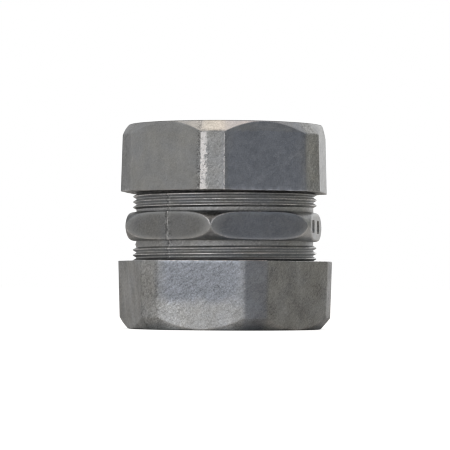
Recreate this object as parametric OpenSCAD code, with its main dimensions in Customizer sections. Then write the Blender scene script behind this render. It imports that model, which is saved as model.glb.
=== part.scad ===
// Compression coupling for 2 inch thin-wall steel conduit, nuts run on by hand, standing on its axis.
// The origin is at the centre of the bore, half way between the two ends, and +Z runs along the conduit.
// The lower half is built like the upper half and turned end for end about X, so all threads are
// right-handed.

/* [Conduit] */
// Outer diameter of the conduit
conduit_d = 55.8; // [55.6:0.1:56]
// Play between the conduit and its socket, on the diameter
socket_play = 0.5; // [0.4:0.1:0.6]
// Hole through the centre stop that the conduit ends butt against
stop_d = 52.5; // [51:0.5:54]
// Width of the centre stop along the bore
stop_w = 3; // [2:0.5:6]

/* [Centre body] */
// Length of the body, end to end
body_l = 42; // [41.8:0.1:42]
// Height of the wrench band
band_h = 9.7; // [8.6:0.1:9.8]
// Largest diameter of the band, where its barrel surface stands between the flats
band_d = 71.8; // [70:0.2:72]
// Diameter of the barrel surface where it meets the neck
band_end_d = 60.6; // [60.4:0.1:61]
// Distance across the flats of the band
band_flats = 62.4; // [62:0.1:64]
// Direction that the flat with the blank pads faces, about Z
band_turn = -7.6; // [-60:0.2:60]
// Length of each blank pad, up the flat
pad_h = 4.4; // [3:0.2:5.2]
// Width of each blank pad, along the flat
pad_w = 7.5; // [4:0.5:8]
// Depth of each blank pad
pad_depth = 0.8; // [0.3:0.1:0.9]
// Distance between the middles of the two pads
pad_apart = 15.6; // [12:0.4:16]
// Distance from the middle of the flat to the middle of the pair of pads
pad_shift = -2.2; // [-2.4:0.2:2.4]

/* [Thread] */
// Crest diameter of the outside threads
thread_d = 62.2; // [62:0.05:62.3]
// Threads per inch
threads_per_inch = 14; // [14:1:15]
// Height of the thread form
thread_depth = 1.1; // [0.8:0.05:1.1]
// Radial gap between the nut's thread and the body's
thread_gap = 0.2; // [0.15:0.05:0.25]
// Height of a crest of the upper thread where it passes +X
upper_crest_at = 0.14; // [0:0.01:1.8]
// Depth of a crest of the lower thread where it passes +X
lower_crest_at = 1.54; // [0:0.01:1.8]

/* [Compression nuts] */
// Height of each nut
nut_h = 23; // [23:0.1:23.4]
// Distance across the wide faces at the open end
nut_flats = 67; // [66.6:0.1:67.6]
// Distance across the narrow faces at the open end
nut_corners = 72.8; // [71.6:0.1:73.4]
// Draft of the twelve faces, which lean in towards the outer end
nut_draft = 1.6; // [0.5:0.1:1.8]
// Gap between the open ends of the two nuts
nut_gap = 23; // [22.4:0.1:23.4]
// Diameter of the flat outer end
nut_end_d = 65.2; // [64:0.1:66]
// Angle of the outer bevel, from the axis
nut_bevel = 41; // [30:1:50]
// Thickness of the end wall round the conduit port
nut_wall = 3.3; // [2.8:0.1:3.3]
// Direction that a wide face of the upper nut faces, about Z
upper_nut_turn = -6.6; // [-60:0.2:60]
// Direction that a wide face of the lower nut faces, about Z
lower_nut_turn = 16.5; // [-60:0.2:60]

/* [Gland pieces] */
// Length of the split gripping ring
grip_h = 5.6; // [5:0.1:5.6]
// Outer diameter of the split gripping ring
grip_d = 60.2; // [59.6:0.1:60.2]
// Width of its slit
grip_slit = 4; // [2:0.5:8]
// Number of biting grooves in its bore
grip_grooves = 4; // [2:1:4]
// Thickness of the slip washer
washer_t = 0.9; // [0.6:0.1:0.9]
// Outer diameter of the slip washer
washer_d = 60.3; // [59.6:0.1:60.3]
// Thickness of the sealing ring
seal_t = 1.8; // [1.4:0.1:1.8]
// Outer diameter of the sealing ring
seal_d = 60.8; // [60:0.1:60.8]

/* [Hidden] */
$fn = 96;

zinc = [0.50, 0.50, 0.51];
steel = [0.68, 0.68, 0.66];
rubber = [0.12, 0.12, 0.13];

hair = 0.1;     // gap between pieces that bear on each other
over = 1;       // how far a cut runs past the face that it opens

// Thread form: 60 degree flanks, with flats of equal width at crest and root
pitch = 25.4 / threads_per_inch;
flank = thread_depth * tan(30) / pitch;
half_crest = (1 - 2 * flank) / 4;
half_ridge = half_crest + flank;
// each corner is [share of a pitch from the crest's middle, share of the depth]
RIDGE = [[-half_ridge, 0], [-half_crest, 1], [half_crest, 1], [half_ridge, 0]];
facets = 48;          // facets in one turn
fade = 8;             // facets over which a ridge grows to full height
plain = 0.6;          // plain length left at each end of a threaded stretch

socket_r = (conduit_d + socket_play) / 2;
crest_r = thread_d / 2;
root_r = crest_r - thread_depth;
body_end = body_l / 2;
barrel_steps = 10;    // cones that make up each half of the band's barrel

// The mouth of the socket is flared, and closes the gripping ring on to the conduit
seat_angle = 30;
seat_rise = 1.2;
seat_l = seat_rise / tan(seat_angle);
tip_l = 0.5;          // bevel round the body's ends

// Heights inside a nut are measured from its open end
nut_foot = nut_gap / 2;
tighten = 1.25 * pitch;                           // travel that closes the gland
body_reach = body_end + tighten - nut_foot;       // how far into the nut the body then comes
mouth_l = 0.9;                                    // countersink before the nut's thread
relief_from = body_reach - 2.4;                   // the nut's thread ends here
relief_to = body_reach + 0.5;
cavity_r = seal_d / 2 + hair;
port_r = socket_r + 0.35;
shoulder = nut_h - nut_wall;

// Gland pieces, stacked down from the nut's shoulder
seal_foot = nut_foot + shoulder - seal_t;
washer_foot = seal_foot - hair - washer_t;
grip_foot = washer_foot - hair - grip_h;
gland_bore_r = socket_r + 0.05;
grip_bevel = 1.2;
groove_depth = 0.4;
groove_apart = 1.1;

// ---- threads ----

// Solid rod with one thread: bottom and top are its flat ends, low_r and high_r the thread's radii.
// The thread starts as low as it can, in the direction that lets a crest pass over +X at the height
// crest_at. At both ends the ridge fades to a rod of radius end_r.
module screw(low_r, high_r, end_r, bottom, top, crest_at) {
    reach = pitch * (1 - half_ridge);     // from a crest to the far side of the root next to it
    first = bottom + plain + reach;
    last = floor(facets * (top - plain - reach - first) / pitch);
    start = 360 * (first - crest_at) / pitch;

    function grown(n) = min(1, n / fade, (last - n) / fade);
    function ridge_r(n, share) = end_r + (low_r + (high_r - low_r) * share - end_r) * grown(n);
    function point(n, r, z) = [r * cos(360 * n / facets), r * sin(360 * n / facets), z];
    function crest_z(n) = first + pitch * n / facets;

    corners = len(RIDGE);
    ribbon = [for (n = [0 : last], c = RIDGE) point(n, ridge_r(n, c[1]), crest_z(n) + pitch * c[0])];
    sill = [for (n = [0 : facets - 1]) point(n, end_r, crest_z(n) - reach)];
    rim = [for (n = [last - facets + 1 : last]) point(n, end_r, crest_z(n) + reach)];
    foot = [for (n = [0 : facets - 1]) point(n, end_r, bottom)];
    head = [for (n = [0 : facets - 1]) point(n, end_r, top)];

    // numbers of the points, by facet and by corner of the ridge
    function on_ribbon(n, c) = n * corners + c;
    function on_sill(n) = len(ribbon) + n;
    function on_rim(n) = len(ribbon) + facets + n - (last - facets + 1);
    function on_foot(n) = len(ribbon) + 2 * facets + n % facets;
    function on_head(n) = len(ribbon) + 3 * facets + n % facets;
    function above(n, c) =
        c < corners - 1 ? on_ribbon(n, c + 1) :
        n + facets <= last ? on_ribbon(n + facets, 0) : on_rim(n);
    function below(n) = n < facets ? on_sill(n) : on_ribbon(n - facets, corners - 1);
    function patch(a, b, c, d) = [[a, b, c], [a, c, d]];

    sides = [for (n = [0 : last - 1], c = [0 : corners - 1])
        each patch(on_ribbon(n, c), above(n, c), above(n + 1, c), on_ribbon(n + 1, c))];
    lead_in = [for (n = [0 : facets - 1])
        each patch(below(n), on_ribbon(n, 0), on_ribbon(n + 1, 0), below(n + 1))];
    skirt = [for (n = [0 : facets - 2])
        each patch(on_foot(n), on_sill(n), on_sill(n + 1), on_foot(n + 1))];
    collar = [for (n = [last - facets + 1 : last - 1])
        each patch(on_rim(n), on_head(n), on_head(n + 1), on_rim(n + 1))];

    // the upright seams where the ribbon starts and ends are fans from one point
    start_edge = [for (c = [corners - 1 : -1 : 0]) on_ribbon(0, c), on_sill(0), on_foot(0),
        on_foot(facets - 1)];
    end_edge = [for (c = [0 : corners - 1]) on_ribbon(last, c), on_rim(last), on_head(last),
        on_head(last + 1)];
    function fan(hub, edge) = [for (i = [0 : len(edge) - 2]) [hub, edge[i], edge[i + 1]]];

    rotate([0, 0, start])
        polyhedron(
            points = concat(ribbon, sill, rim, foot, head),
            faces = concat(sides, lead_in, skirt, collar,
                fan(on_sill(facets - 1), start_edge), fan(on_rim(last - facets + 1), end_edge),
                [[for (n = [0 : facets - 1]) on_foot(n)], [for (n = [facets - 1 : -1 : 0]) on_head(n)]])
        );
}

// ---- centre body ----

// Barrel of revolution with an elliptical outline, before the flats are cut
module barrel() {
    swell = (band_d - band_end_d) / 2;
    outline = [for (i = [-barrel_steps : barrel_steps])
        [band_end_d / 2 + swell * cos(90 * i / barrel_steps), band_h / 2 * sin(90 * i / barrel_steps)]];
    rotate_extrude() polygon(concat([[0, -band_h / 2]], outline, [[0, band_h / 2]]));
}

module wrench_band() {
    difference() {
        barrel();
        for (side = [0 : 5])
            rotate([0, 0, band_turn + 60 * side])
                translate([band_flats / 2, -band_d / 2, -band_h])
                    cube([band_d, band_d, 2 * band_h]);
        rotate([0, 0, band_turn])
            for (place = [-1, 1])
                translate([band_flats / 2 - pad_depth, pad_shift + place * pad_apart / 2, 0])
                    blank_pad();
    }
}

// Recess with round ends, cut from the flat outwards
module blank_pad() {
    corner = 1.2;
    rotate([90, 0, 90])
        linear_extrude(pad_depth + over) {
            square([pad_w - 2 * corner, pad_h], center = true);
            square([pad_w, pad_h - 2 * corner], center = true);
            for (x = [-1, 1], y = [-1, 1])
                translate([x * (pad_w / 2 - corner), y * (pad_h / 2 - corner)]) circle(corner);
        }
}

// One end of the body, from the middle of the band up
module threaded_end(crest_at) {
    screw(root_r, crest_r, root_r, band_h / 2 - plain + hair, body_end - tip_l, crest_at);
    cylinder(h = body_end - tip_l, r = root_r - 0.15);
    translate([0, 0, body_end - tip_l]) cylinder(h = tip_l, r1 = root_r - 0.15, r2 = root_r - 0.3);
}

// One conduit socket, with its flared mouth
module socket() {
    translate([0, 0, stop_w / 2]) cylinder(h = body_end, r = socket_r);
    translate([0, 0, body_end - seat_l])
        cylinder(h = seat_l + over, r1 = socket_r, r2 = socket_r + (seat_l + over) * tan(seat_angle));
}

module center_body() {
    color(zinc)
        difference() {
            union() {
                wrench_band();
                threaded_end(upper_crest_at);
                rotate([180, 0, 0]) threaded_end(lower_crest_at);
            }
            socket();
            rotate([180, 0, 0]) socket();
            cylinder(h = stop_w + 2 * over, d = stop_d, center = true);
        }
}

// ---- compression nut, with its open end at z = 0 ----

// Twelve drafted faces, six wide and six narrow, under a conical bevel
module nut_blank() {
    round_r = nut_corners / 2 + over;
    bevel_l = (round_r - nut_end_d / 2) / tan(nut_bevel);
    difference() {
        rotate_extrude()
            polygon([[0, 0], [round_r, 0], [round_r, nut_h - bevel_l], [nut_end_d / 2, nut_h], [0, nut_h]]);
        for (side = [0 : 5]) {
            rotate([0, 0, 60 * side]) face_cut(nut_flats / 2);
            rotate([0, 0, 60 * side + 30]) face_cut(nut_corners / 2);
        }
    }
}

// Everything outside a face that stands `away` from the axis at the open end
module face_cut(away) {
    translate([away, 0, 0])
        rotate([0, -nut_draft, 0])
            translate([0, -nut_corners / 2, -nut_h / 2])
                cube([nut_corners / 2, nut_corners, 2 * nut_h]);
}

module compression_nut(turn, crest_at) {
    color(zinc)
        difference() {
            rotate([0, 0, turn]) nut_blank();
            screw(root_r + thread_gap, crest_r + thread_gap, crest_r + thread_gap,
                mouth_l - plain + hair, relief_from + plain - hair, crest_at - nut_foot);
            translate([0, 0, -over])
                cylinder(h = mouth_l + over, r1 = crest_r + thread_gap + mouth_l + over,
                    r2 = crest_r + thread_gap + hair);
            translate([0, 0, relief_from])
                cylinder(h = relief_to - relief_from, r = crest_r + thread_gap + hair);
            translate([0, 0, relief_from]) cylinder(h = shoulder - relief_from, r = cavity_r);
            cylinder(h = nut_h + over, r = port_r);
            translate([0, 0, nut_h - 1]) cylinder(h = 1 + over, r1 = port_r, r2 = port_r + 1 + over);
        }
}

// ---- gland pieces ----

// Rubber ring that the nut squeezes round the conduit
module sealing_ring() {
    lip = 0.4;
    color(rubber)
        rotate_extrude()
            polygon([
                [gland_bore_r, lip], [gland_bore_r + lip, 0], [seal_d / 2 - lip, 0], [seal_d / 2, lip],
                [seal_d / 2, seal_t], [gland_bore_r + lip, seal_t], [gland_bore_r, seal_t - lip]
            ]);
}

// Flat ring that keeps the turning nut from dragging the gripping ring round
module slip_washer() {
    color(steel)
        difference() {
            cylinder(h = washer_t, d = washer_d);
            translate([0, 0, -over]) cylinder(h = washer_t + 2 * over, r = gland_bore_r + hair);
        }
}

// Split ring, bevelled at both ends, with grooves whose edges bite the conduit
module gripping_ring(slit_turn) {
    bevel_l = grip_bevel / tan(seat_angle);
    r = grip_d / 2;
    lowest = grip_h / 2 - groove_apart * (grip_grooves - 1) / 2;
    grooves = [for (i = [grip_grooves - 1 : -1 : 0], corner = [1, 0, -1])
        [gland_bore_r + (corner == 0 ? groove_depth : 0), lowest + groove_apart * (i + corner * 0.35)]];
    color(steel)
        difference() {
            rotate_extrude()
                polygon(concat([
                    [gland_bore_r, 0], [r - grip_bevel, 0], [r, bevel_l], [r, grip_h - bevel_l],
                    [r - grip_bevel, grip_h], [gland_bore_r, grip_h]
                ], grooves));
            rotate([0, 0, slit_turn])
                translate([0, -grip_slit / 2, -over]) cube([grip_d, grip_slit, grip_h + 2 * over]);
        }
}

// ---- nodes ----

module upper_compression_nut() {
    translate([0, 0, nut_foot]) compression_nut(upper_nut_turn, upper_crest_at);
}
module upper_sealing_ring() { translate([0, 0, seal_foot]) sealing_ring(); }
module upper_slip_washer() { translate([0, 0, washer_foot]) slip_washer(); }
module upper_gripping_ring() { translate([0, 0, grip_foot]) gripping_ring(130); }

module lower_compression_nut() {
    rotate([180, 0, 0]) translate([0, 0, nut_foot]) compression_nut(-lower_nut_turn, lower_crest_at);
}
module lower_sealing_ring() { rotate([180, 0, 0]) upper_sealing_ring(); }
module lower_slip_washer() { rotate([180, 0, 0]) upper_slip_washer(); }
module lower_gripping_ring() {
    rotate([180, 0, 0]) translate([0, 0, grip_foot]) gripping_ring(40);
}

center_body();
upper_compression_nut();
upper_sealing_ring();
upper_slip_washer();
upper_gripping_ring();
lower_compression_nut();
lower_sealing_ring();
lower_slip_washer();
lower_gripping_ring();
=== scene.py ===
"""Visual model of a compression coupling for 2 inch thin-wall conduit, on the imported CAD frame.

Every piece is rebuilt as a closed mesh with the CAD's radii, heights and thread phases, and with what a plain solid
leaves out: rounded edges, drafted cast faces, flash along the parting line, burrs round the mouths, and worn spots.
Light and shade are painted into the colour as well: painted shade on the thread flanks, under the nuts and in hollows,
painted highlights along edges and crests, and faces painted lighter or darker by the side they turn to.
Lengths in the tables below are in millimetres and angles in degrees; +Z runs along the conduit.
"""

import math

import bpy
import numpy as np
from mathutils import Euler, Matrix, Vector, noise


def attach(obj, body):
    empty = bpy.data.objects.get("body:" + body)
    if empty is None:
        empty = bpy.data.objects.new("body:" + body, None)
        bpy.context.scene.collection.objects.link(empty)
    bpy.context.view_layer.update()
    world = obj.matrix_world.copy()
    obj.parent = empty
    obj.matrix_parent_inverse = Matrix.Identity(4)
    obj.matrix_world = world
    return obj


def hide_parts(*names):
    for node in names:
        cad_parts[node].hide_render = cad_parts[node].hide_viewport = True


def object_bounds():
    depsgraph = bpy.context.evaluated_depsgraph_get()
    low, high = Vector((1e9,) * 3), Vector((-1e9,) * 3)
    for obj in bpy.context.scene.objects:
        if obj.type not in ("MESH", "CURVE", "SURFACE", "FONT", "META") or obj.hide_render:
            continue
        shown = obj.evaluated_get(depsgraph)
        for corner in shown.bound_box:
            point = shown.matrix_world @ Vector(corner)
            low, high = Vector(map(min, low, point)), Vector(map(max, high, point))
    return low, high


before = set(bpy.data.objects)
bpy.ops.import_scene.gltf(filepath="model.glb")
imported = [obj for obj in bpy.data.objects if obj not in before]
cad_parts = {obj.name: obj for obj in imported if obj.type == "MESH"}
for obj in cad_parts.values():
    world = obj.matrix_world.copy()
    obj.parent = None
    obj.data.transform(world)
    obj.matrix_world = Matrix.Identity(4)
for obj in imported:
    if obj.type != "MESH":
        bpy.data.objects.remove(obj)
cad_box = [list(corner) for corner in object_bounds()]

MM = 0.001

# ---- sizes, as in the CAD ----

PITCH = 25.4 / 14                # 14 threads to the inch
THREAD_DEPTH = 1.1
CREST_R = 31.1
ROOT_R = CREST_R - THREAD_DEPTH
FLANK = THREAD_DEPTH * math.tan(math.radians(30)) / PITCH      # shares of a pitch
HALF_CREST = (1 - 2 * FLANK) / 4
HALF_RIDGE = HALF_CREST + FLANK
THREAD_GAP = 0.2
FACETS = 48                      # facets to a turn in the CAD's threads
BODY_TURNS = 340 / FACETS
NUT_TURNS = 163 / FACETS
FADE = math.radians(60)          # winding angle over which a ridge grows to full height
UPPER_CREST_AT = 0.14            # height of a crest over +X
LOWER_CREST_AT = 1.54            # the same for the lower thread, measured downwards

BODY_END = 21.0
BODY_TIP_R = 29.7
SOCKET_R = 28.15
STOP_R = 26.25
STOP_HALF = 1.5
SEAT_R = 29.35                   # flared mouth of the socket
SEAT_L = 2.08

BAND_HALF = 4.85
BAND_R = 35.9
BAND_END_R = 30.3
FLAT_AT = 31.2                   # distance of the band's six flats from the axis
BAND_TURN = -7.6                 # direction of the flat with the blank pads
BARREL_SPAN = 5.0                # mean half axis of the barrel's section
HUB_R = 26.0                     # the band's section is traced by rays from this radius
PARTING = (52.4, -127.6)         # directions of the mould's parting line
PARTING_R = 31.0                 # radius at which distances from that line are taken
OUTSIDE_R = 29.5                 # the body's outer faces lie beyond this radius
PAD_W, PAD_H, PAD_DEPTH, PAD_APART, PAD_SHIFT = 7.5, 4.4, 0.8, 15.6, -2.2
PAD_CORNER, PAD_STEPS = 1.2, 6   # radius of the pads' corners, and points round each

NUT_H = 23.0
NUT_FOOT = 11.5
WIDE_AT, NARROW_AT = 33.5, 36.4  # distances of the nut's faces from the axis at the open end
DRAFT = math.tan(math.radians(1.6))
BEVEL = math.tan(math.radians(41))
NUT_END_R = 32.6
PORT_R = 28.5
CAVITY_R = 30.5
SHOULDER = 19.7
RELIEF = (9.37, 12.27)
NUT_BORE_R = CREST_R + THREAD_GAP
MOUTH_R = 32.25
MOUTH_L = 0.9
UPPER_NUT_TURN = -6.6            # direction of a wide face
LOWER_NUT_TURN = 16.5
UPRIGHT_EDGE = 23.77             # degrees from the middle of a wide face to its upright edges
NARROW_SPAN = 60 - 2 * UPRIGHT_EDGE
EDGE_R = 36                      # radius at which distances from an upright edge are taken
NUT_OUTSIDE_R = 32.3             # the nuts' outer faces lie beyond this radius
BEVEL_FOOT = NUT_H - 3.6         # the bevel reaches down to about this height over the narrow faces

GLAND_R = 28.2
GRIP_FOOT, GRIP_H, GRIP_R = 22.7, 5.6, 30.1
GRIP_SLIT = 4.0
WASHER_FOOT, WASHER_T, WASHER_R = 28.4, 0.9, 30.15
SEAL_FOOT, SEAL_T, SEAL_R = 29.4, 1.8, 30.4

SHARP = 38                       # edges that turn by more than this many degrees stay sharp

# ---- mesh tools ----


def off(angles, centre):
    """Signed angle from a direction, in degrees, from -180 to 180."""
    return (np.degrees(angles) - centre + 180) % 360 - 180


def from_sixth(angles, turn):
    """Angle from the nearest of six directions 60 degrees apart, one of them `turn`, in degrees."""
    return np.abs((np.degrees(angles) - turn + 30) % 60 - 30)


def arc(angles, centre, radius):
    """Signed distance from a direction, along a circle."""
    return np.radians(off(angles, centre)) * radius


def bump(value, width, power=2):
    """1 where a value is 0, falling off round `width`; a higher power makes a flatter top and steeper sides."""
    return np.exp(-(value / width) ** power)


def polar(points):
    """Directions round the axis, distances from it, and heights."""
    return np.arctan2(points[:, 1], points[:, 0]), np.hypot(points[:, 0], points[:, 1]), points[:, 2]


def columns(coarse, zones):
    """Directions round the axis, `coarse` degrees apart, and closer in each zone (centre, half width, step)."""
    marks, at = [], 0.0
    while at < 360:
        marks.append(at)
        step = coarse
        for centre, half, fine in zones:
            away = abs((at - centre + 180) % 360 - 180) - half
            step = min(step, fine + max(0.0, away) * 0.45)
        at += step
    return np.radians(np.array(marks) * 360 / at)


def soft_min(a, b, k):
    """The smaller of two, rounded over where they differ by less than k."""
    h = np.clip(k - np.abs(a - b), 0, None) / k
    return np.minimum(a, b) - h * h * k / 4


def rough(points, size, seed):
    """Smooth noise from -1 to 1 with bumps of about `size` millimetres."""
    shift = Vector((seed * 7.31, seed * 3.17, seed * 5.53))
    return np.array([noise.noise(Vector(p) / size + shift) for p in points])


def add_object(name, data):
    ob = bpy.data.objects.new(name, data)
    bpy.context.scene.collection.objects.link(ob)
    return ob


class Skin:
    """A closed skin of rings and thread ribbons that share one set of columns round the axis.
    The rings run up the outside, in over the top, down the bore and out at the foot."""

    def __init__(self, angles):
        self.angles = angles
        self.n = len(angles)
        self.points, self.wear, self.faces = [], [], []
        self.count = 0

    def add(self, angles, r, z, wear):
        r, z, wear = (np.broadcast_to(np.asarray(v, float), angles.shape) for v in (r, z, wear))
        self.points.append(np.stack([r * np.cos(angles), r * np.sin(angles), z], 1))
        self.wear.append(wear)
        first = self.count
        self.count += len(angles)
        return np.arange(first, self.count)

    def ring(self, r, z, wear=0.0):
        return self.add(self.angles, r, z, wear)

    def strip(self, low, high):
        self.faces += np.stack([low, np.roll(low, -1), np.roll(high, -1), high], 1).tolist()

    def join(self, rings, closed=False):
        for low, high in zip(rings, rings[1:] + (rings[:1] if closed else [])):
            self.strip(low, high)

    def profile(self, corners):
        """Rings along a line of corners (r, z, rounding, rings on the way to the next corner, worn brightness and
        painted shade).
        """
        r = [np.broadcast_to(np.asarray(c[0], float), (self.n,)) for c in corners]
        z = [np.broadcast_to(np.asarray(c[1], float), (self.n,)) for c in corners]
        rings = []
        for i, (_, _, rounding, between, wear) in enumerate(corners):
            if 0 < i < len(corners) - 1 and rounding:
                back = np.hypot(r[i - 1] - r[i], z[i - 1] - z[i])
                ahead = np.hypot(r[i + 1] - r[i], z[i + 1] - z[i])
                cut = np.minimum(rounding, 0.45 * np.minimum(back, ahead))
                for t in (0.0, 0.25, 0.5, 0.75, 1.0):
                    a, b = (1 - t) ** 2 * cut / back, t * t * cut / ahead
                    rings.append(self.ring(
                        r[i] + a * (r[i - 1] - r[i]) + b * (r[i + 1] - r[i]),
                        z[i] + a * (z[i - 1] - z[i]) + b * (z[i + 1] - z[i]),
                        wear * (1 - abs(2 * t - 1) * 0.6)))
            else:
                rings.append(self.ring(r[i], z[i], wear))
            for j in range(between):
                t = (j + 1) / (between + 1)
                rings.append(self.ring(r[i] * (1 - t) + r[i + 1] * t, z[i] * (1 - t) + z[i + 1] * t))
        return rings

    def thread(self, foot, head, low, high, end, start, stop, zero, inside=False):
        """One ridge wound from angle start to angle stop, between the rings foot and head, with its crest at the
        height zero + PITCH a turn. low, high and end are the radii of the root, the crest and the faded ends."""
        turn = 2 * math.pi
        n_cols = self.n
        base = math.floor(start / turn)
        s = int(np.searchsorted(self.angles, start - base * turn))
        last = 0
        wind = []
        while not wind or wind[-1] < stop:
            wind.append(self.angles[(s + last) % n_cols] + turn * (base + (s + last) // n_cols))
            last += 1
        wind = np.array(wind)
        last -= 1
        crest = zero + PITCH * wind / turn
        grown = np.clip(np.minimum((wind - wind[0]) / FADE, (wind[-1] - wind) / FADE), 0, 1)

        def along(across, up):
            """Noise along the winding; a larger `across` or `up` makes it finer round the axis or along it."""
            return np.array([noise.noise(Vector((math.cos(w) * across, math.sin(w) * across, c * up)))
                             for w, c in zip(wind, crest)])

        dent, shine = along(14, 2), along(5, 0.5)
        at = []
        for share, depth, wear in RIDGE:
            r = end + (low + (high - low) * depth - end) * grown
            if depth > 0.5 and not inside:
                r = r - 0.035 * np.clip(dent + 0.1, 0, 1) * grown
            # gleam: painted highlights, glints that come and go along the crests of the thread
            gleam = 1 + 1.2 * shine * (depth > 0.95)
            at.append(self.add(wind, r, crest + PITCH * share, wear * grown * gleam))
        reach = PITCH * (1 - HALF_RIDGE)
        sill = self.add(wind[:n_cols], end, crest[:n_cols] - reach, 0)
        rim = self.add(wind[last - n_cols + 1:], end, crest[last - n_cols + 1:] + reach, 0)
        top = len(RIDGE) - 1

        def above(n, c):
            return at[c + 1][n] if c < top else at[0][n + n_cols] if n + n_cols <= last else rim[n - last + n_cols - 1]

        def below(n):
            return sill[n] if n < n_cols else at[top][n - n_cols]

        def on(ring, n):
            return ring[(s + n) % n_cols]

        made = [(at[c][n], at[c][n + 1], above(n + 1, c), above(n, c)) for n in range(last) for c in range(top + 1)]
        made += [(below(n), below(n + 1), at[0][n + 1], at[0][n]) for n in range(n_cols)]
        made += [(on(foot, n), on(foot, n + 1), sill[n + 1], sill[n]) for n in range(n_cols - 1)]
        made += [(rim[i], rim[i + 1], on(head, last - n_cols + 2 + i), on(head, last - n_cols + 1 + i))
                 for i in range(n_cols - 1)]
        start_edge = [at[c][0] for c in range(top, -1, -1)] + [sill[0], on(foot, 0), on(foot, n_cols - 1)]
        stop_edge = [at[c][last] for c in range(top + 1)] + [rim[-1], on(head, last), on(head, last + 1)]
        for hub, edge in ((sill[-1], start_edge), (rim[0], stop_edge)):
            made += [(hub, b, a) for a, b in zip(edge, edge[1:])]
        self.faces += [[int(i) for i in (reversed(f) if inside else f)] for f in made]

    def mesh(self, name, lower=False, paint=None):
        """The finished object. `lower` turns it over, and paint(points) gives its attributes beside the worn and
        painted-light values.
        """
        points, wear = np.concatenate(self.points), np.concatenate(self.wear)
        if lower:
            points = points * (1, -1, -1)
        me = bpy.data.meshes.new(name)
        me.from_pydata((points * MM).tolist(), [], self.faces)
        me.validate()
        marks = dict(wear=wear, **(paint(points) if paint else {}))
        for key, value in marks.items():
            me.attributes.new(key, "FLOAT", "POINT").data.foreach_set("value", np.asarray(value, np.float32))
        me.polygons.foreach_set("use_smooth", [True] * len(me.polygons))
        me.set_sharp_from_angle(angle=math.radians(SHARP))
        return add_object(name, me)


# Ridge of a thread: (share of a pitch from the crest's middle, share of the depth, worn brightness and painted shade),
# with its corners eased. That value runs from 1, rubbed bright, through 0, as cast, to -1, dark. On the crests it is
# rubbed bright with painted highlights, on the flanks it is painted shade, and the roots are painted a little lighter.
HALF_FLANK = (HALF_CREST + HALF_RIDGE) / 2
RIDGE_UP = (
    (HALF_CREST - 0.02, 1.0, 0.6), (HALF_CREST + 0.03, 0.91, 0.2), (HALF_FLANK, 0.5, -0.22),
    (HALF_RIDGE - 0.03, 0.09, -0.02), (HALF_RIDGE + 0.02, 0.0, 0.2),
)
RIDGE = tuple((-share, depth, wear) for share, depth, wear in RIDGE_UP[::-1]) + RIDGE_UP


def winding(first, last_turn, crest_at):
    """Start and stop angle of a thread whose first crest is at height `first`."""
    start = 2 * math.pi * (first - crest_at) / PITCH
    return start, start + 2 * math.pi * last_turn


# ---- centre body ----

LENS_TIP = math.degrees(math.acos(FLAT_AT / BAND_R))


def swell_at(angles):
    """How far the band's barrel stands out from its ends. One corner, beside the pads, is rubbed down a little."""
    return BAND_R - BAND_END_R - 0.55 * bump(off(angles, BAND_TURN - 30), 6)


def past_barrel(r, z, swell):
    """About how far a point of the band's section lies outside the barrel."""
    return (np.hypot((r - BAND_END_R) / swell, z / BAND_HALF) - 1) * BARREL_SPAN


def flash(points):
    """Height of the flash and the scraped ground beside the parting line."""
    az = polar(points)[0]
    out = np.zeros(len(points))
    wobble = rough(points, 1.1, 3)
    fine = rough(points, 0.45, 9)
    for centre in PARTING:
        d = arc(az, centre, PARTING_R) + 0.12 * wobble
        out += 0.10 * bump(d - 0.1, 0.28) * (0.7 + fine) - 0.07 * bump(d + 0.6, 0.35) * (0.6 + fine)
    return out


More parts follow.
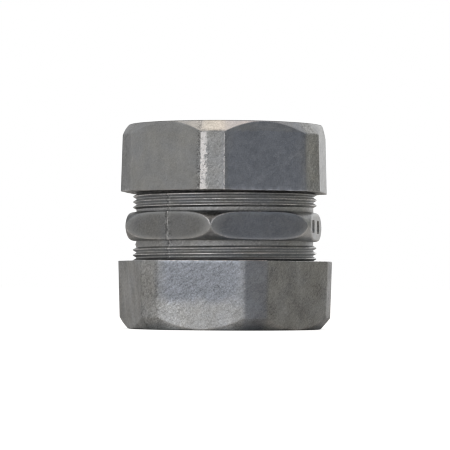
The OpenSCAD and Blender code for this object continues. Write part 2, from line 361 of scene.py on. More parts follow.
def band_rings(skin):
    """The wrench band: a barrel with six flats that meet it in rounded lens-shaped edges."""
    swell = swell_at(skin.angles)
    d = from_sixth(skin.angles, BAND_TURN)
    plane = FLAT_AT / np.cos(np.radians(d))
    x = np.clip((plane - BAND_END_R) / swell, 0, 1)
    z_edge = BAND_HALF * np.sqrt(1 - x * x)
    # rays from the hub: up to the lens-shaped edge over the flat, and from there on to the barrel's foot
    lens = np.degrees(np.arctan2(z_edge, plane - HUB_R))
    lens = np.hypot(lens, 5.0) * (lens.max() / math.hypot(lens.max(), 5.0))
    junction = math.degrees(math.atan2(BAND_HALF, BAND_END_R - HUB_R))
    inner = np.array([0, 0.2, 0.4, 0.58, 0.72, 0.82, 0.89, 0.94, 0.97, 1.0])
    outer = np.array([0.06, 0.14, 0.25, 0.4, 0.58, 0.78, 1.0])
    rows = [lens * t for t in inner] + [lens + (junction - lens) * t for t in outer]
    # turn between barrel and flat at the edge, which sets how far the edge's rounding reaches
    lean = np.arctan2(z_edge / BAND_HALF ** 2, x / swell ** 2)
    bend = np.arccos(np.cos(lean) * np.cos(np.radians(d)))
    front = bump(off(skin.angles, BAND_TURN - 90), 9)
    shade_side = bump(off(skin.angles, -152), 14, 4)
    edge = 0.65 - 0.4 * front
    ease = np.maximum(edge * np.tan(bend / 2) * np.sin(bend), 0.05)
    rings = []
    for side in (-1, 1):
        order = rows[::-1] if side < 0 else rows[1:]
        for fan in order:
            ray = np.radians(fan)
            # halve the span in which the ray leaves the band, until it is far below a micrometre
            lo, hi = np.full(skin.n, 3.0), np.full(skin.n, 11.0)
            for _ in range(36):
                mid = (lo + hi) / 2
                r, z = HUB_R + mid * np.cos(ray), mid * np.sin(ray)
                barrel = np.where(r < BAND_END_R, z - BAND_HALF, past_barrel(r, z, swell))
                flat = r * np.cos(np.radians(d)) - FLAT_AT
                gap = np.clip(ease - np.abs(barrel - flat), 0, None) / ease
                outside = np.maximum(barrel, flat) + gap * gap * ease / 4 > 0
                lo, hi = np.where(outside, lo, mid), np.where(outside, mid, hi)
            r, z = HUB_R + lo * np.cos(ray), lo * np.sin(ray)
            barrel = past_barrel(r, z, swell)
            flat = r * np.cos(np.radians(d)) - FLAT_AT
            # rim: a painted highlight along the lens-shaped edges, stronger towards the front and weaker on the shaded
            # side
            rim = bump((barrel - flat) / np.sin(bend), 0.16 + 0.25 * edge)
            rim *= (0.34 - 0.06 * side * np.clip(z, 0, 1) + (0.17 + 0.19 * side) * front
                    - (0.1 + 0.15 * side) * shade_side)
            rings.append(skin.ring(r, side * z, rim))
    return rings


def body_marks(points):
    """Grain, tone and painted light of the body: a coarser or finer skin, a cooler or warmer tone, and a lighter or
    darker skin that is mostly painted light and shade: flats and barrel by the side they face, painted shade over the
    barrel's upper half and where the band meets the neck, painted highlights round the flats, lighter necks and
    threads, and a rubbed corner beside the pads.
    """
    az, r, z = polar(points)
    outside = r > OUTSIDE_R
    to_flat = r * np.cos(np.radians(from_sixth(az, BAND_TURN))) - FLAT_AT
    to_barrel = past_barrel(r, z, swell_at(az))
    # the regions
    band = np.abs(z) < BAND_HALF + 0.02
    flats = (np.abs(to_flat) < 0.06) & band
    barrel = band & ~flats & outside
    neck = (np.abs(z) > BAND_HALF + 0.02) & (np.abs(z) < 7) & outside
    thread = (np.abs(z) >= 7) & (np.abs(z) < 12) & outside
    # rim: painted highlight round the flats
    rim = band * np.exp(-(to_flat / 0.24) ** 2 - (to_barrel / 0.9) ** 2)
    corner = bump(np.abs(z) - BAND_HALF, 0.3)                          # painted shade where the band meets the neck, deeper on the upper side
    # above: painted shade over the barrel's upper half, under the nut
    above = np.clip((z - 0.1) / 0.9, 0, 1)
    # the directions: the parting line, a bluish tone, a rubbed corner, and the sides, ridge and middle flat that set
    # painted light and shade
    line = sum(bump(arc(az, c, PARTING_R), 1.1) for c in PARTING)
    bluish = bump(off(az, -67.6), 27, 8)
    left, right = (bump(off(az, BAND_TURN - turn), 27, 8) for turn in (120, 0))
    tip = barrel * bump(off(az, BAND_TURN - 30), 6.5, 4)               # rubbed corner beside the pads
    ridge = bump(off(az, BAND_TURN - 90), 6)
    middle = flats * bump(off(az, BAND_TURN - 62), 11)
    # painted light and shade: flats and barrel lighter or darker by the side they face, threads and upper neck painted
    # lighter
    shading_and_marks = (np.where(flats, -0.48 - 0.08 * left + 0.42 * right, 0.0)
            + rim * (0.5 + 0.3 * left) + 0.85 * tip + 0.1 * middle
            - barrel * (0.45 + 0.4 * above) * (1 - 0.5 * right - 0.3 * left + 0.35 * ridge * (z > 0))
            + neck * (0.03 + 0.3 * (z > 0)) + 0.38 * thread
            - outside * corner * (0.35 + 0.3 * (z > 0)))
    return {"grain": np.where(outside, 0.3 - 0.16 * flats + 0.7 * line + 0.1 * neck, 0.2),
            "tone": -bluish * outside * (band * 1.2) * (1 - tip), "shading_and_marks": shading_and_marks}


def shade_threads_under_nuts(skin):
    """Painted shade on the threads where they run in under the nuts."""
    for i, block in enumerate(skin.points):
        _, r, z = polar(block)
        z = np.abs(z)
        hidden = np.clip((z - 10.75) / 0.1, 0, 1) * np.clip((12.3 - z) / 0.8, 0, 1) * (r > OUTSIDE_R)
        skin.wear[i] = skin.wear[i] * (1 - hidden) - 0.88 * hidden


def make_body():
    """The body: band and threads outside, and two flared sockets with the centre stop between them inside."""
    tips = [(BAND_TURN + 60 * k + s * LENS_TIP, 1.6, 0.3) for k in range(6) for s in (-1, 1)]
    skin = Skin(columns(1.45, tips + [(c, 2.2, 0.32) for c in PARTING]))
    first = BAND_HALF + 0.1 + PITCH * (1 - HALF_RIDGE)
    low_foot = skin.ring(ROOT_R, -BODY_END + 0.55)
    low_head = skin.ring(ROOT_R, -BAND_HALF - 0.09)
    high_foot = skin.ring(ROOT_R, BAND_HALF + 0.09)
    high_head = skin.ring(ROOT_R, BODY_END - 0.55)
    start, stop = winding(first, BODY_TURNS, UPPER_CREST_AT)
    skin.thread(high_foot, high_head, ROOT_R, CREST_R, ROOT_R, start, stop, UPPER_CREST_AT)
    start, stop = winding(first, BODY_TURNS, LOWER_CREST_AT)
    skin.thread(low_foot, low_head, ROOT_R, CREST_R, ROOT_R, -stop, -start, -LOWER_CREST_AT)
    skin.join([low_head] + band_rings(skin) + [high_foot])
    half = [
        (BODY_TIP_R, BODY_END, 0.12, 1, 0.5), (SEAT_R, BODY_END, 0.12, 2, 0.6),
        (SOCKET_R, BODY_END - SEAT_L, 0.3, 12, 0.3), (SOCKET_R, STOP_HALF, 0.25, 1, 0),
        (STOP_R, STOP_HALF, 0.3, 1, 0.5),
    ]
    # the lower half is the same line backwards, with each count of rings taken from the corner before it
    counts = [corner[3] for corner in half[-2::-1]] + [1]
    mirrored = [(r, -z, rounding, between, wear) for (r, z, rounding, _, wear), between in zip(half[::-1], counts)]
    ends = [(ROOT_R, z, 0, 0, 0) for z in (BODY_END - 0.5, 0.5 - BODY_END)]
    skin.join([high_head] + skin.profile(ends[:1] + half + mirrored + ends[1:]) + [low_foot])
    for i, block in enumerate(skin.points):
        r = polar(block)[1]
        if r.min() > ROOT_R - 0.1 and abs(block[0, 2]) < BODY_END - 1:
            height = flash(block)
            scale = 1 + height / r
            skin.points[i] = block * np.stack([scale, scale, np.ones_like(scale)], 1)
            raised, scraped = np.clip(height, 0, None), np.clip(height, None, 0)
            skin.wear[i] = np.clip(skin.wear[i] + 7 * raised + 9 * scraped, -1, 1)
    shade_threads_under_nuts(skin)
    return skin.mesh("center_body_skin", paint=body_marks)


def cut_pads(body):
    """The two blank pads, sunk into one flat of the band."""
    a = math.radians(BAND_TURN)
    out, along = Vector((math.cos(a), math.sin(a), 0)), Vector((-math.sin(a), math.cos(a), 0))
    # floor, its eased foot, the wall with a little draft, and the lid outside the flat
    levels = ((FLAT_AT - PAD_DEPTH, 0.86), (FLAT_AT - PAD_DEPTH + 0.12, 0.94), (FLAT_AT - 0.14, 0.99),
              (FLAT_AT + 0.06, 1.05), (FLAT_AT + 1, 1.06))
    verts, faces = [], []
    for side in (-1, 1):
        outline = []
        for q in range(4):
            cx = (PAD_W / 2 - PAD_CORNER) * (1 if q in (0, 3) else -1)
            cz = (PAD_H / 2 - PAD_CORNER) * (1 if q < 2 else -1)
            for i in range(PAD_STEPS + 1):
                t = math.radians(90 * q + 90 * i / PAD_STEPS)
                outline.append((cx + PAD_CORNER * math.cos(t), cz + PAD_CORNER * math.sin(t)))
        first, n = len(verts), len(outline)
        middle = PAD_SHIFT + side * PAD_APART / 2
        for depth, shrink in levels:
            verts += [out * depth + along * (middle + y * shrink) + Vector((0, 0, z * shrink)) for y, z in outline]
        last = len(levels) - 1
        for level in range(last):
            for i in range(n):
                a0, b0 = first + level * n + i, first + level * n + (i + 1) % n
                faces.append((a0, b0, b0 + n, a0 + n))
        faces.append(tuple(first + i for i in range(n))[::-1])
        faces.append(tuple(first + last * n + i for i in range(n)))
    me = bpy.data.meshes.new("pads")
    me.from_pydata([v * MM for v in verts], [], faces)
    cutter = add_object("pads", me)
    mod = body.modifiers.new("pads", "BOOLEAN")
    mod.operation, mod.solver, mod.object = "DIFFERENCE", "EXACT", cutter
    bpy.context.view_layer.update()
    cut = bpy.data.meshes.new_from_object(body.evaluated_get(bpy.context.evaluated_depsgraph_get()))
    body.modifiers.clear()
    # inside the pads the skin is painted darker, painted shade in the recess, and is a little coarser
    at = np.array([v.co for v in cut.vertices]) / MM
    depth, place_along = FLAT_AT - at @ np.array(out), np.abs(at @ np.array(along) - PAD_SHIFT)
    inside = (depth > 0.02) & (depth < PAD_DEPTH + 0.05) & (np.abs(place_along - PAD_APART / 2) < PAD_W / 2 + 0.3)
    inside &= np.abs(at[:, 2]) < PAD_H / 2 + 0.2
    for key, value in (("shading_and_marks", -0.25), ("grain", 0.4), ("wear", -0.2)):
        values = np.empty(len(at), np.float32)
        cut.attributes[key].data.foreach_get("value", values)
        cut.attributes[key].data.foreach_set("value", np.where(inside, value, values).astype(np.float32))
    old, body.data = body.data, cut
    cut.name = "center_body_skin"
    cut.set_sharp_from_angle(angle=math.radians(SHARP))
    bpy.data.meshes.remove(old)
    bpy.data.objects.remove(cutter)
    bpy.data.meshes.remove(me)


# ---- compression nuts, made with the open end at z = 0 ----


def make_nut(name, turn, crest_at, edge, burr, mouth_wear, seed, lower, paint, wear_at):
    """A twelve-faced nut with a wide face in the direction `turn`, and its thread in phase with the body's.
    edge is the rounding of the upright edges, and burr and mouth_wear the roughness and the worn brightness of the
    mouth's rim. wear_at(points, away) gives how worn the upright edges are round one ring."""
    half = math.degrees(math.atan2(NARROW_AT - WIDE_AT * math.cos(math.radians(30)), WIDE_AT * 0.5))
    zones = [(turn + 60 * k + s * half, 1.3, 0.2) for k in range(6) for s in (-1, 1)]
    skin = Skin(columns(1.2, zones))
    wide = from_sixth(skin.angles, turn)
    narrow = 30 - wide

    def face_r(z):
        lean = z * DRAFT
        return soft_min((WIDE_AT - lean) / np.cos(np.radians(wide)),
                        (NARROW_AT - lean) / np.cos(np.radians(narrow)), edge)

    foot_r, end_r = face_r(0), face_r(NUT_H)
    slope = (foot_r - end_r) / NUT_H
    drop = (end_r - NUT_END_R) / (BEVEL - slope)
    rim = np.stack([foot_r * np.cos(skin.angles), foot_r * np.sin(skin.angles), np.zeros(skin.n)], 1)
    jag = burr * (0.6 * rough(rim, 1.6, seed) + 0.5 * rough(rim, 0.7, seed + 1))
    outer = [
        # the mouth's first rings are painted dark: painted shade in the mouth where the nut meets the thread
        (MOUTH_R - 0.5, 0.45, 0, 0, -1), (MOUTH_R, 0, 0.15, 1, -1),
        (foot_r - np.abs(jag) * 0.6, np.clip(0.05 + jag, -0.12, 0.4), 0.28, 40, mouth_wear),
        (end_r + slope * drop, NUT_H - drop, 0.3, 3, 0.2),
        (NUT_END_R, NUT_H, 0.4, 3, -0.8),
        (PORT_R + 1, NUT_H, 0.22, 1, 0.5), (PORT_R, NUT_H - 1, 0.2, 1, 0.3),
        (PORT_R, SHOULDER, 0.12, 1, 0.2), (CAVITY_R, SHOULDER, 0.1, 3, 0),
        (CAVITY_R, RELIEF[1], 0.12, 1, 0.2), (NUT_BORE_R + 0.1, RELIEF[1], 0.1, 2, 0),
        (NUT_BORE_R + 0.1, RELIEF[0], 0.05, 0, 0), (NUT_BORE_R, RELIEF[0] - 0.02, 0, 0, 0),
    ]
    rings = skin.profile(outer)
    foot = skin.ring(NUT_BORE_R + 0.05, MOUTH_L)
    skin.join([foot] + rings)
    first = MOUTH_L + 0.1 + PITCH * (1 - HALF_RIDGE)
    start, stop = winding(first + NUT_FOOT, NUT_TURNS, crest_at)
    skin.thread(foot, rings[-1], ROOT_R + THREAD_GAP, NUT_BORE_R, NUT_BORE_R, start, stop, crest_at - NUT_FOOT,
                inside=True)
    away = np.radians(wide - half) * EDGE_R
    for i, block in enumerate(skin.points):
        _, r, z = polar(block)
        if len(block) == skin.n and r[0] > NUT_OUTSIDE_R + 0.5:
            rubbed = wear_at(block, away) * np.clip((NUT_H - drop - 0.15 - z) / 0.2, 0, 1)
            skin.wear[i] = np.maximum(skin.wear[i], rubbed)
            # under: painted shade on the nut's end face next to the mouth
            under = np.clip((0.25 - z) / 0.2, 0, 1) * np.clip((foot_r - 0.3 - r) / 0.1, 0, 1)
            skin.wear[i] = skin.wear[i] * (1 - under) - under
        skin.points[i] = block + np.array((0, 0, NUT_FOOT))
    return skin.mesh(name, lower=lower, paint=paint)


def upper_edge_wear(points, away):
    """One upright edge in front is worn bright over a strip, the next is a thin, broken bright line."""
    az = polar(points)[0]
    scuff_and_highlight = arc(az, UPPER_NUT_TURN - 120 + UPRIGHT_EDGE, NARROW_AT)
    thin = arc(az, UPPER_NUT_TURN - 60 - UPRIGHT_EDGE, NARROW_AT)
    strip = np.where(scuff_and_highlight < 0, bump(scuff_and_highlight, 0.15), bump(scuff_and_highlight, 2.3, 4))
    broken = 0.95 + 1.2 * rough(points, 0.8, 41)
    patchy = 0.86 + 0.75 * rough(points, 0.75, 43)
    return np.maximum.reduce([0.25 * bump(away, 0.2), patchy * strip, broken * bump(thin, 0.28)])


def lower_edge_wear(points, away):
    return 0.3 * bump(away, 0.5)


def upper_nut_marks(points):
    """Grain, tone and painted light of the upper nut. Its front faces differ, and its other faces are plain. Over the
    narrow faces the bevel is painted lighter and warmer, a painted highlight, with a painted shade line along its foot.
    """
    az, r, z = polar(points)
    z = z - NUT_FOOT
    outside = r > NUT_OUTSIDE_R
    into = off(az, UPPER_NUT_TURN - 120 + UPRIGHT_EDGE) / NARROW_SPAN     # share of the way across a narrow face
    scuff = bump(into - 0.1, 0.2) * (z < 19.2)
    narrow = bump(into - 0.5, 0.52, 8)
    beside = bump(into + 0.1, 0.1)                                     # dull strip left of the scuffed edge
    blue = bump(off(az, UPPER_NUT_TURN - 60), 24, 8)
    plain = bump(off(az, UPPER_NUT_TURN - 120), 24, 8)
    olive = bump(off(az, UPPER_NUT_TURN - 30), 6, 6)
    left = bump(off(az, UPPER_NUT_TURN - 150), 6, 6)
    bevel = z > BEVEL_FOOT
    chips = bump(z - 0.3, 0.7) * (blue + 1.2 * left) * np.clip(0.55 + 1.2 * rough(points, 1.6, 31), 0, 1)
    # a painted shade line along the foot of the bevel over the narrow faces
    bevel_shade_line = bump(z - 19.35, 0.3) * narrow
    stain = rough(points * (1, 1, 0.6), 4, 19) + 0.5 * rough(points, 1.6, 23)
    return {
        "grain": outside * np.clip(0.14 + 0.8 * scuff + 0.25 * narrow + 0.4 * olive + 0.2 * left + 0.5 * beside, 0, 1),
        # bevel over the narrow faces: painted warmer and lighter, a painted highlight
        "tone": outside * (-1.5 * blue * (1 - 0.6 * bevel) + 0.3 * olive + 0.1 * plain + bevel * narrow * 0.6),
        "shading_and_marks": outside * (0.4 * scuff - 0.06 * narrow - 0.36 * beside - 0.5 * bevel_shade_line + 0.9 * chips + 0.03 * olive
                           + bevel * narrow * 0.22 + stain * (0.1 + 0.14 * left + 0.3 * olive + 0.06 * plain)),
    }


def lower_nut_marks(points):
    """Grain, tone and painted light of the lower nut, which is rubbed light low on its front faces. Its faces are also
    painted lighter or darker by the side they turn to, as painted light and shade.
    """
    az, r, z = polar(points)
    z = z + NUT_FOOT
    outside = r > NUT_OUTSIDE_R
    front = bump(off(az, LOWER_NUT_TURN - 120), 24, 8)
    wide = bump(off(az, LOWER_NUT_TURN - 60), 24, 6)
    right = bump(off(az, LOWER_NUT_TURN - 90), 6.5, 6)
    left = bump(off(az, LOWER_NUT_TURN - 150), 6.5, 6)
    rest = 1 - front - wide - right - left
    low = 1 / (1 + np.exp((z + 13.2 + 1.4 * rough(points, 6, 4)) / 0.8))
    into = off(az, LOWER_NUT_TURN - 120) / 24                          # -1 to 1 across the front wide face
    corner = low * bump(into + 0.8, 0.35)
    light = bump(into - 0.88, 0.08) * (1 - low)
    past = arc(az, LOWER_NUT_TURN - 120 - UPRIGHT_EDGE, EDGE_R)        # from the front face's left edge
    line = bump(past + 7.5, 0.4) + bump(past + 0.7, 0.8)
    rim = bump(z + 0.4, 0.4)
    bevel = z < -BEVEL_FOOT
    lean = points * (1, 1, 0.45) + points[:, 2:] * (0.35, -0.35, 0)    # stains run down and a little to one side
    stain = rough(lean, 5, 8) + 0.3 * rough(lean, 2.2, 12)
    rubbed = 0.08 + 0.63 * low + rim * (0.8 + 1.0 * rough(points, 1.8, 17)) + 0.16 * stain
    return {
        "grain": outside * np.clip(0.22 + 0.4 * front + 0.38 * left + 0.5 * corner + 0.2 * rest + 0.1 * wide, 0, 1),
        "tone": outside * (front * (-1.5 * (1 - low) - 0.1 * low) + 0.2 * wide - 0.9 * right + 0.1 * left),
        # right, wide, left, rest and bevel: faces painted lighter or darker by the side they turn to, painted light and
        # shade
        "shading_and_marks": outside * (front * rubbed + 0.45 * corner + 0.16 * light
                           - 0.29 * right - 0.31 * wide + 0.16 * left - 0.07 * rest - 0.22 * line + 0.12 * bevel
                           + (0.35 + 0.15 * rest) * stain * (1 - front)),
    }


# ---- gland pieces ----


def make_ring(name, corners, lower, slit=None):
    """A ring from the corners (r, z, rounding) of its section, listed up the outside. slit is (direction, width)."""
    if slit is None:
        skin = Skin(columns(2.0, []))
    else:
        half = math.degrees(slit[1] / 2 / corners[0][0])
        skin = Skin(np.radians(np.linspace(slit[0] + half, slit[0] + 360 - half, 180)))
    loop = [corners[-1]] + corners + [corners[0]]
    spans = [(r, z, f, 1 if 0 < i < len(loop) - 1 else 0, 0.5 if f else 0) for i, (r, z, f) in enumerate(loop)]
    rings = skin.profile(spans)[1:-1]
    skin.join(rings, closed=True)
    if slit is not None:
        # take out the strips across the slit and close both ends with the section
        gap = {int(r[-1]) for r in rings}, {int(r[0]) for r in rings}
        skin.faces = [f for f in skin.faces if not (gap[0] & set(f) and gap[1] & set(f))]
        skin.faces.append([int(r[0]) for r in rings])
        skin.faces.append([int(r[-1]) for r in rings][::-1])
    return skin.mesh(name, lower=lower)


def grip_section():
    bevel_l = 1.2 / math.tan(math.radians(30))
    top = GRIP_FOOT + GRIP_H
    section = [
        (GRIP_R - 1.2, GRIP_FOOT, 0.12), (GRIP_R, GRIP_FOOT + bevel_l, 0.25), (GRIP_R, top - bevel_l, 0.25),
        (GRIP_R - 1.2, top, 0.12), (GLAND_R, top, 0.1),
    ]
    for i in (3, 2, 1, 0):
        middle = GRIP_FOOT + GRIP_H / 2 + 1.1 * (i - 1.5)
        section += [(GLAND_R, middle + 0.385, 0), (GLAND_R + 0.4, middle, 0), (GLAND_R, middle - 0.385, 0)]
    return section + [(GLAND_R, GRIP_FOOT, 0.1)]


WASHER_SECTION = [
    (WASHER_R, WASHER_FOOT, 0.12), (WASHER_R, WASHER_FOOT + WASHER_T, 0.06),
    (GLAND_R + 0.1, WASHER_FOOT + WASHER_T, 0.06), (GLAND_R + 0.1, WASHER_FOOT, 0.12),
]
SEAL_SECTION = [
    (SEAL_R - 0.4, SEAL_FOOT, 0.15), (SEAL_R, SEAL_FOOT + 0.4, 0.15), (SEAL_R, SEAL_FOOT + SEAL_T, 0.1),
    (GLAND_R + 0.4, SEAL_FOOT + SEAL_T, 0.15), (GLAND_R, SEAL_FOOT + SEAL_T - 0.4, 0.15),
    (GLAND_R, SEAL_FOOT + 0.4, 0.15), (GLAND_R + 0.4, SEAL_FOOT, 0.15),
]

# ---- materials ----


class Nodes:
    """Short hand for building a node tree."""

    def __init__(self, tree):
        self.tree = tree
        tree.nodes.clear()

    def new(self, kind, inputs=(), **props):
        node = self.tree.nodes.new(kind)
        for key, value in props.items():
            setattr(node, key, value)
        for key, value in dict(inputs).items():
            if isinstance(value, bpy.types.NodeSocket):
                self.tree.links.new(value, node.inputs[key])
            else:
                node.inputs[key].default_value = value
        return node

    def in_mm(self):
        """The piece's own coordinates, in millimetres."""
        own = self.new("ShaderNodeTexCoord").outputs["Object"]
        return self.new("ShaderNodeVectorMath", {0: own, 3: 1 / MM}, operation="SCALE").outputs[0]

    def math(self, op, a, b=0.0, clamp=False):
        return self.new("ShaderNodeMath", {0: a, 1: b}, operation=op, use_clamp=clamp).outputs[0]

    def attr(self, name):
        return self.new("ShaderNodeAttribute", attribute_name=name).outputs["Fac"]

    def noise(self, at, scale, detail=3.0, rough=0.55, distortion=0.0):
        return self.new("ShaderNodeTexNoise", {"Vector": at, "Scale": scale, "Detail": detail, "Roughness": rough,
                                               "Distortion": distortion}).outputs["Fac"]

    def spread(self, value, low, high, to_low=0.0, to_high=1.0):
        return self.new("ShaderNodeMapRange", {0: value, 1: low, 2: high, 3: to_low, 4: to_high}).outputs[0]

    def mix(self, fac, a, b, blend="MIX"):
        node = self.new("ShaderNodeMix", data_type="RGBA", blend_type=blend)
        for key, value in ((0, fac), (6, a), (7, b)):
            if isinstance(value, bpy.types.NodeSocket):
                self.tree.links.new(value, node.inputs[key])
            else:
                node.inputs[key].default_value = value
        return node.outputs[2]

    def bump(self, strength, distance, height, normal=None):
        """A relief of `distance` metres, laid over another one where `normal` gives it."""
        inputs = {"Strength": strength, "Distance": distance, "Height": height}
        if normal is not None:
            inputs["Normal"] = normal
        return self.new("ShaderNodeBump", inputs).outputs[0]

    def surface(self, inputs):
        bsdf = self.new("ShaderNodeBsdfPrincipled", inputs)
        self.new("ShaderNodeOutputMaterial", {"Surface": bsdf.outputs[0]})


def new_material(name):
    mat = bpy.data.materials.new(name)
    mat.use_nodes = True
    return mat, Nodes(mat.node_tree)


def metal_material(name, cool, warm, bright, roughness, has_marks):
    """Cast or plated metal between a cool and a warm colour, with `bright` where the per-point value is high, on rubbed
    spots and painted highlights, and painted shade where it is below 0. has_marks says that its pieces carry grain,
    tone and painted light and shade with stains."""
    mat, n = new_material(name)
    at = n.in_mm()
    wear = n.attr("wear")
    grain, tone, shading_and_marks = (n.attr(k) for k in ("grain", "tone", "shading_and_marks")) if has_marks else (0.15, 0.0, 0.0)
    broad = n.noise(at, 0.11, 4.0, 0.6, 0.4)
    blotch = n.noise(at, 0.42, 5.0, 0.62)
    speck = n.noise(at, 1.7, 4.0, 0.62)
    fine = n.noise(at, 3.4, 2.0, 0.5)
    # colour: cool and warm patches, blotches, and light specks where the casting is coarse
    hue = n.math("ADD", n.spread(broad, 0.35, 0.65, 0.52, 0.78), n.math("MULTIPLY", tone, 0.5), clamp=True)
    colour = n.mix(hue, cool, warm)
    # the shading attribute adds painted light and shade, and stains and other marks
    shade = n.math("ADD", n.spread(blotch, 0.3, 0.7, 0.94, 1.04), n.math("MULTIPLY", shading_and_marks, 0.6))
    mottle = n.spread(n.noise(at, 0.5, 3.0, 0.5, 0.6), 0.34, 0.66, -0.10, 0.10)
    slanted = n.new("ShaderNodeMapping", {0: at, 2: (0, math.radians(-38), 0), 3: (2.6, 1.0, 0.7)},
                    vector_type="TEXTURE").outputs[0]
    mottle = n.math("ADD", mottle, n.spread(n.noise(slanted, 1.0, 3.0, 0.6), 0.36, 0.64, -0.26, 0.26))
    specks = n.math("MULTIPLY", n.math("ADD", n.spread(speck, 0.34, 0.66, -0.38, 0.38), mottle), grain)
    shade = n.math("ADD", shade, specks)
    shade = n.math("ADD", shade, n.spread(fine, 0.3, 0.7, -0.09, 0.09))
    # painted shade where the per-point value is below 0: thread flanks, under the nuts, nut mouths and pads; also the
    # darker scraped ground by the parting line
    shade_and_dark_marks = n.math("MAXIMUM", n.math("MULTIPLY", wear, -1.0), 0.0)
    shade_and_dark_marks = n.math("MULTIPLY", shade_and_dark_marks, n.spread(blotch, 0.3, 0.7, 0.6, 0.95))
    shade = n.math("MULTIPLY", shade, n.math("SUBTRACT", 1.0, shade_and_dark_marks))
    grey = n.new("ShaderNodeCombineColor", {0: shade, 1: shade, 2: shade}).outputs[0]
    colour = n.mix(1.0, colour, grey, "MULTIPLY")
    patchy = n.math("SUBTRACT", n.noise(at, 1.1, 4.0, 0.7), 0.5)
    # bright where the per-point value is high: rubbed spots, and painted highlights on the rims round the flats and on
    # the crests
    scuff_and_highlight = n.spread(n.math("ADD", wear, n.math("MULTIPLY", patchy, 1.5)), 0.4, 0.75)
    colour = n.mix(scuff_and_highlight, colour, bright)
    dull = n.spread(blotch, 0.3, 0.7, roughness - 0.06, roughness + 0.06)
    rough_at = n.math("ADD", dull, n.math("MULTIPLY", scuff_and_highlight, -0.14))
    # relief: long waves, cast skin and fine grain
    relief = n.bump(0.5, 0.00012, n.noise(at, 0.16, 2.0))
    coarse = n.math("MULTIPLY", speck, n.math("ADD", n.math("MULTIPLY", grain, 0.85), 0.12))
    relief = n.bump(1.0, 0.00014, coarse, relief)
    relief = n.bump(0.5, 0.00002, fine, relief)
    n.surface({"Base Color": colour, "Metallic": 1.0, "Roughness": rough_at, "Normal": relief})
    return mat


def rubber_material():
    mat, n = new_material("seal_rubber")
    at = n.in_mm()
    bloom = n.noise(at, 0.5, 4.0, 0.6)
    colour = n.mix(n.spread(bloom, 0.35, 0.7), (0.018, 0.018, 0.02, 1), (0.045, 0.045, 0.046, 1))
    relief = n.bump(0.4, 0.00003, n.noise(at, 5.0, 2.0))
    n.surface({"Base Color": colour, "Roughness": n.spread(bloom, 0.3, 0.7, 0.6, 0.8), "Normal": relief})
    return mat


zinc = metal_material("cast_zinc", cool=(0.40, 0.43, 0.485, 1), warm=(0.475, 0.472, 0.445, 1),
                      bright=(0.96, 0.94, 0.93, 1), roughness=0.42, has_marks=True)
steel = metal_material("plated_steel", cool=(0.60, 0.62, 0.65, 1), warm=(0.68, 0.67, 0.63, 1),
                       bright=(0.85, 0.85, 0.83, 1), roughness=0.3, has_marks=False)
rubber = rubber_material()

# ---- pieces ----


def place(ob, body, node, material):
    """Put a finished piece in the place of its CAD node."""
    ob.data.materials.clear()
    ob.data.materials.append(material)
    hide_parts(node)
    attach(ob, body)


body = make_body()
cut_pads(body)
place(body, "body", "center_body", zinc)
for end, lower in (("upper", False), ("lower", True)):
    if lower:
        nut = make_nut("lower_nut_skin", -LOWER_NUT_TURN, LOWER_CREST_AT, edge=0.34, burr=0.10, mouth_wear=0.6, seed=21,
                       lower=True, paint=lower_nut_marks, wear_at=lower_edge_wear)
    else:
        nut = make_nut("upper_nut_skin", UPPER_NUT_TURN, UPPER_CREST_AT, edge=0.12, burr=0.16, mouth_wear=0.25, seed=11,
                       lower=False, paint=upper_nut_marks, wear_at=upper_edge_wear)
    place(nut, end + "_nut", end + "_compression_nut", zinc)
    seal = make_ring(end + "_seal_skin", SEAL_SECTION, lower)
    place(seal, end + "_nut", end + "_sealing_ring", rubber)
    washer = make_ring(end + "_washer_skin", WASHER_SECTION, lower)
    place(washer, end + "_washer", end + "_slip_washer", steel)
    grip = make_ring(end + "_grip_skin", grip_section(), lower, (40 if lower else 130, GRIP_SLIT))
    place(grip, end + "_grip", end + "_gripping_ring", steel)

# ---- floor, light and camera ----


def floor():
    """A wide pale disc just under the coupling, in metres."""
    rings, n = (0.0, 0.05, 0.1, 0.25, 0.6, 1.6, 5.0), 64
    z = cad_box[0][2] - 0.00003
    turns = [2 * math.pi * i / n for i in range(n)]
    verts = [(0, 0, z)] + [(r * math.cos(t), r * math.sin(t), z) for r in rings[1:] for t in turns]
    faces = [(0, 1 + i, 1 + (i + 1) % n) for i in range(n)]
    for k in range(len(rings) - 2):
        a, b = 1 + k * n, 1 + (k + 1) * n
        faces += [(a + i, b + i, b + (i + 1) % n, a + (i + 1) % n) for i in range(n)]
    me = bpy.data.meshes.new("floor")
    me.from_pydata(verts, [], faces)
    ob = add_object("floor", me)
    mat, n = new_material("floor")
    seen = n.new("ShaderNodeLightPath").outputs["Is Camera Ray"]
    diffuse = n.new("ShaderNodeBsdfDiffuse", {"Color": (0.62, 0.62, 0.61, 1)})
    glow = n.new("ShaderNodeEmission", {"Color": (1, 1, 1, 1), "Strength": n.math("MULTIPLY", seen, 0.72)})
    both = n.new("ShaderNodeAddShader", {0: diffuse.outputs[0], 1: glow.outputs[0]})
    n.new("ShaderNodeOutputMaterial", {"Surface": both.outputs[0]})
    me.materials.append(mat)


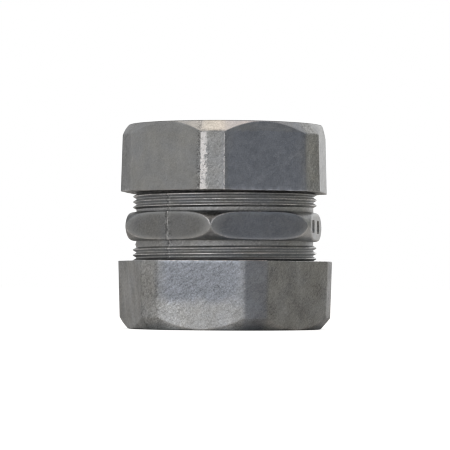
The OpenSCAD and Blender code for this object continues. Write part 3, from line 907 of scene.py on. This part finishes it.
# Soft lights round the coupling: (bearing from the camera's side, height, full within, faded out by, colour).
# A bearing of 90 is on the right and 180 behind; a negative colour is a dark card.
STUDIO = (
    (-20, 84, 10, 36, (1.29, 1.14, 1.01)),
    (65, 74, 2, 22, (0.14, -0.04, -0.09)),
    (150, 50, 10, 35, (0.15, 0.15, 0.15)),
    (-20, 6, 6, 42, (0.34, 0.34, 0.35)),
    (-24, 4, 3, 10, (1.1, 1.1, 1.1)),
    (26, 4, 2, 8, (1.0, 1.0, 1.0)),
    (-85, 8, 15, 60, (0.10, 0.10, 0.10)),
    (46, 0, 12, 44, (-0.27, -0.255, -0.235)),
    (102, 5, 10, 40, (-0.07, -0.065, -0.085)),
    (165, 10, 8, 36, (0.90, 0.90, 0.90)),
)


def studio_light():
    """The world: a soft sky that grows lighter upwards, the STUDIO table's lights, and plain white behind."""
    world = bpy.data.worlds.new("studio")
    bpy.context.scene.world = world
    world.use_nodes = True
    n = Nodes(world.node_tree)
    way = n.new("ShaderNodeTexCoord").outputs["Generated"]
    height = n.new("ShaderNodeSeparateXYZ", {0: way}).outputs[2]
    light = n.mix(n.spread(height, -0.4, 0.5), (0.10, 0.10, 0.10, 1), (0.44, 0.44, 0.44, 1))
    for bearing, up, full, gone, colour in STUDIO:
        b, u = math.radians(bearing), math.radians(up)
        aim = (math.sin(b) * math.cos(u), -math.cos(b) * math.cos(u), math.sin(u))
        near = n.new("ShaderNodeVectorMath", {0: way, 1: aim}, operation="DOT_PRODUCT").outputs["Value"]
        dark_at, lit_at = (math.cos(math.radians(angle)) for angle in (gone, full))
        soft = n.new("ShaderNodeMapRange", {0: near, 1: dark_at, 2: lit_at, 3: 0.0, 4: 1.0},
                     interpolation_type="SMOOTHSTEP").outputs[0]
        part = n.new("ShaderNodeVectorMath", {0: colour, 3: soft}, operation="SCALE").outputs[0]
        light = n.new("ShaderNodeVectorMath", {0: light, 1: part}, operation="ADD").outputs[0]
    lit = n.new("ShaderNodeBackground", {"Color": light, "Strength": 1.0})
    seen = n.new("ShaderNodeBackground", {"Color": (1, 1, 1, 1), "Strength": 1.0})
    camera_ray = n.new("ShaderNodeLightPath").outputs["Is Camera Ray"]
    both = n.new("ShaderNodeMixShader", {0: camera_ray, 1: lit.outputs[0], 2: seen.outputs[0]})
    n.new("ShaderNodeOutputWorld", {"Surface": both.outputs[0]})


def camera():
    """Level with the coupling's lower half, a little under a metre off, on a long lens."""
    data = bpy.data.cameras.new("camera")
    data.sensor_width = 36
    data.lens = 220.4
    data.clip_start, data.clip_end = 0.05, 20
    ob = add_object("camera", data)
    ob.location = (0.0, -0.934, -0.0186)
    ob.rotation_euler = Euler((math.radians(90 + 1.185), math.radians(-0.3), math.radians(-0.01)), "XYZ")
    bpy.context.scene.camera = ob


floor()
studio_light()
camera()
bpy.context.scene.view_settings.view_transform = "Standard"
bpy.context.scene.cycles.filter_width = 1.1
